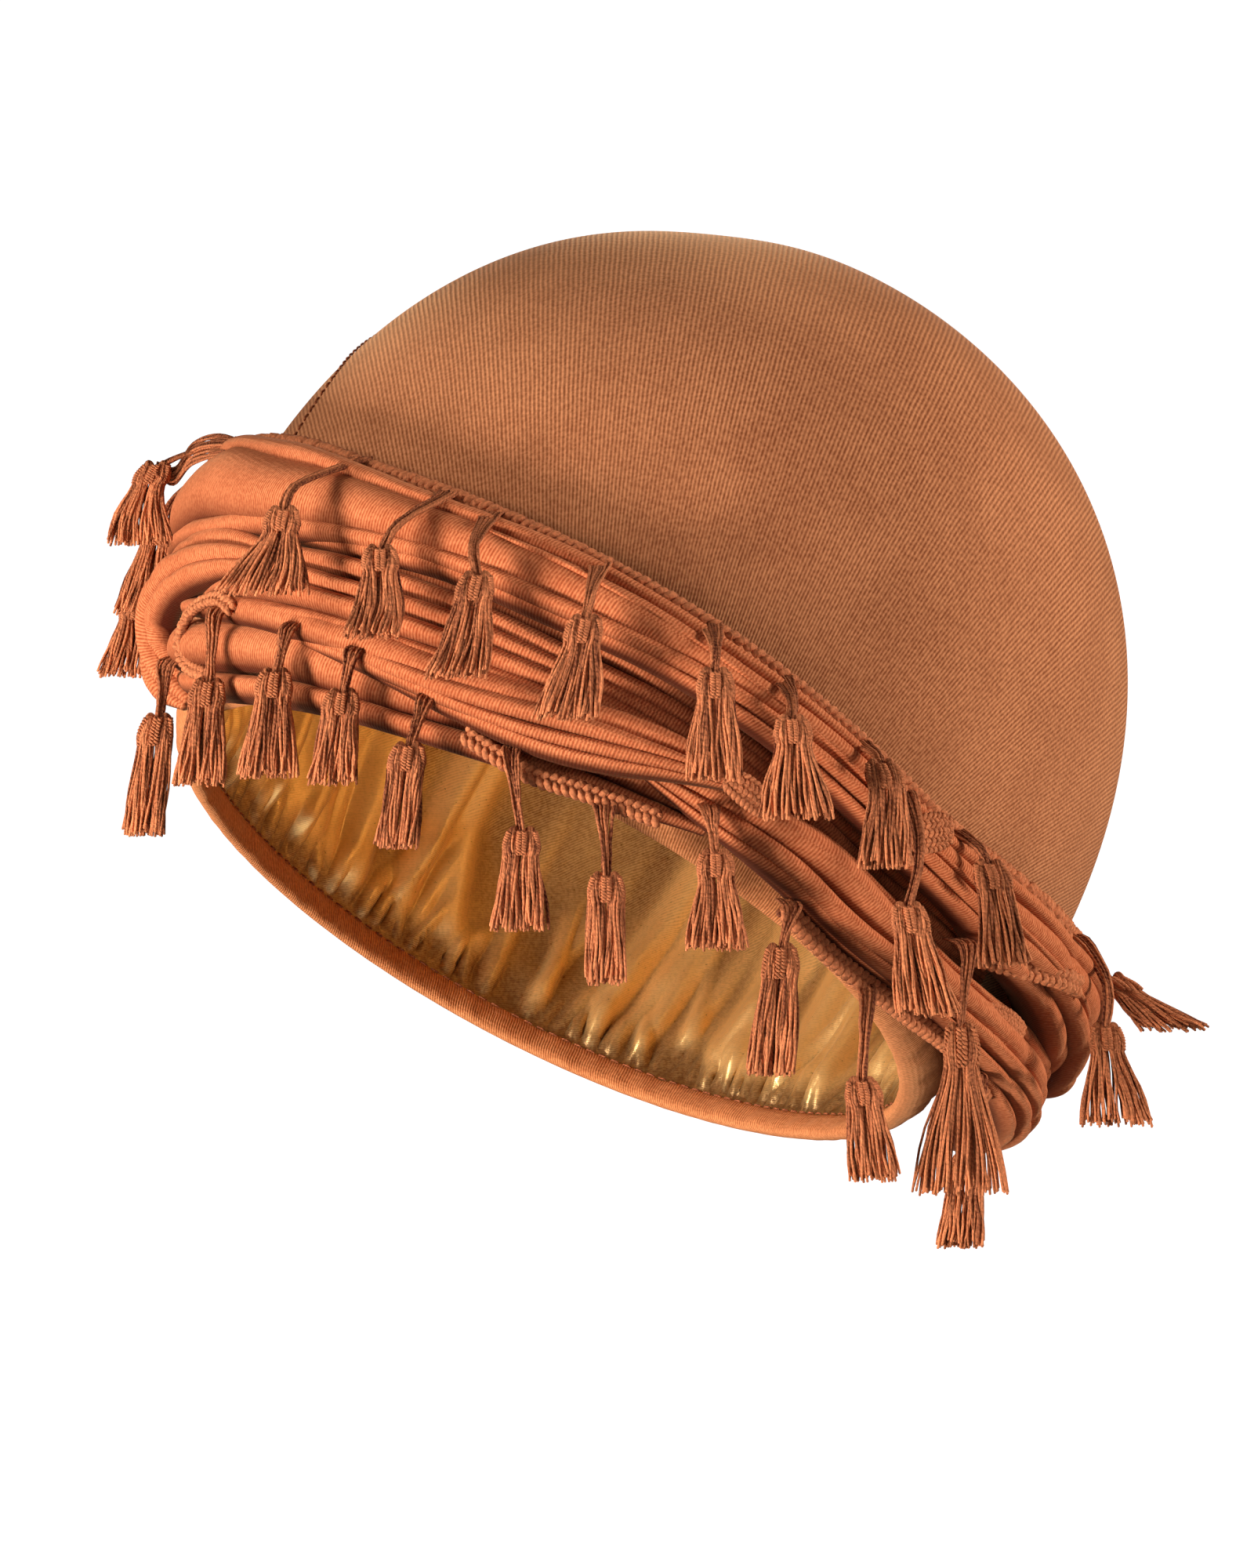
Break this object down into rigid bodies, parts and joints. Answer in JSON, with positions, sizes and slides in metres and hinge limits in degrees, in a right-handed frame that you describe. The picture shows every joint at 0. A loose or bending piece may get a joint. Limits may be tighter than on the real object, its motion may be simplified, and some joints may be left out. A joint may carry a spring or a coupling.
{
  "type": "ready-tied turban cap",
  "caption": "Stretch-knit turban cap with a satin lining, a bound hem, a twisted scarf sewn along the front and tassels hanging from the scarf's braided edges.",
  "frame": {"origin": "middle of the cap's mouth, where it sits on a head", "axes": "+Z plumb up with the tassels hanging along -Z, front band towards -Y, the cap held tipped 28 degrees towards +X and leaned back 16.5 degrees"},
  "size_m": [0.1992, 0.23, 0.1825],
  "materials": {
    "crown_knit": "fine knit, soft sheen",
    "scarf_knit": "matt jersey",
    "lining_satin": "glossy satin",
    "thread": "plied thread, slight gloss"
  },
  "bodies": {
    "root": {"crown": "crown_knit", "hem_binding": "crown_knit", "lining": "lining_satin", "front_sash": "scarf_knit", "right_sash": "scarf_knit", "upper_roll": "scarf_knit", "side_loop": "scarf_knit", "lower_roll": "scarf_knit", "middle_pleats": "scarf_knit", "upper_braid": "thread", "lower_braid_left": "thread", "lower_braid_middle": "thread", "lower_braid_right": "thread", "tassel_01": "thread", "tassel_02": "thread", "tassel_03": "thread", "tassel_04": "thread", "tassel_05": "thread", "tassel_06": "thread", "tassel_07": "thread", "tassel_08": "thread", "tassel_09": "thread", "tassel_10": "thread", "tassel_11": "thread", "tassel_12": "thread", "tassel_13": "thread", "tassel_14": "thread", "tassel_15": "thread", "tassel_16": "thread", "tassel_17": "thread", "tassel_18": "thread", "tassel_19": "thread", "tassel_20": "thread", "tassel_21": "thread", "tassel_22": "thread", "tassel_23": "thread", "tassel_24": "thread", "tassel_25": "thread", "tassel_26": "thread"}
  },
  "joints": []
}
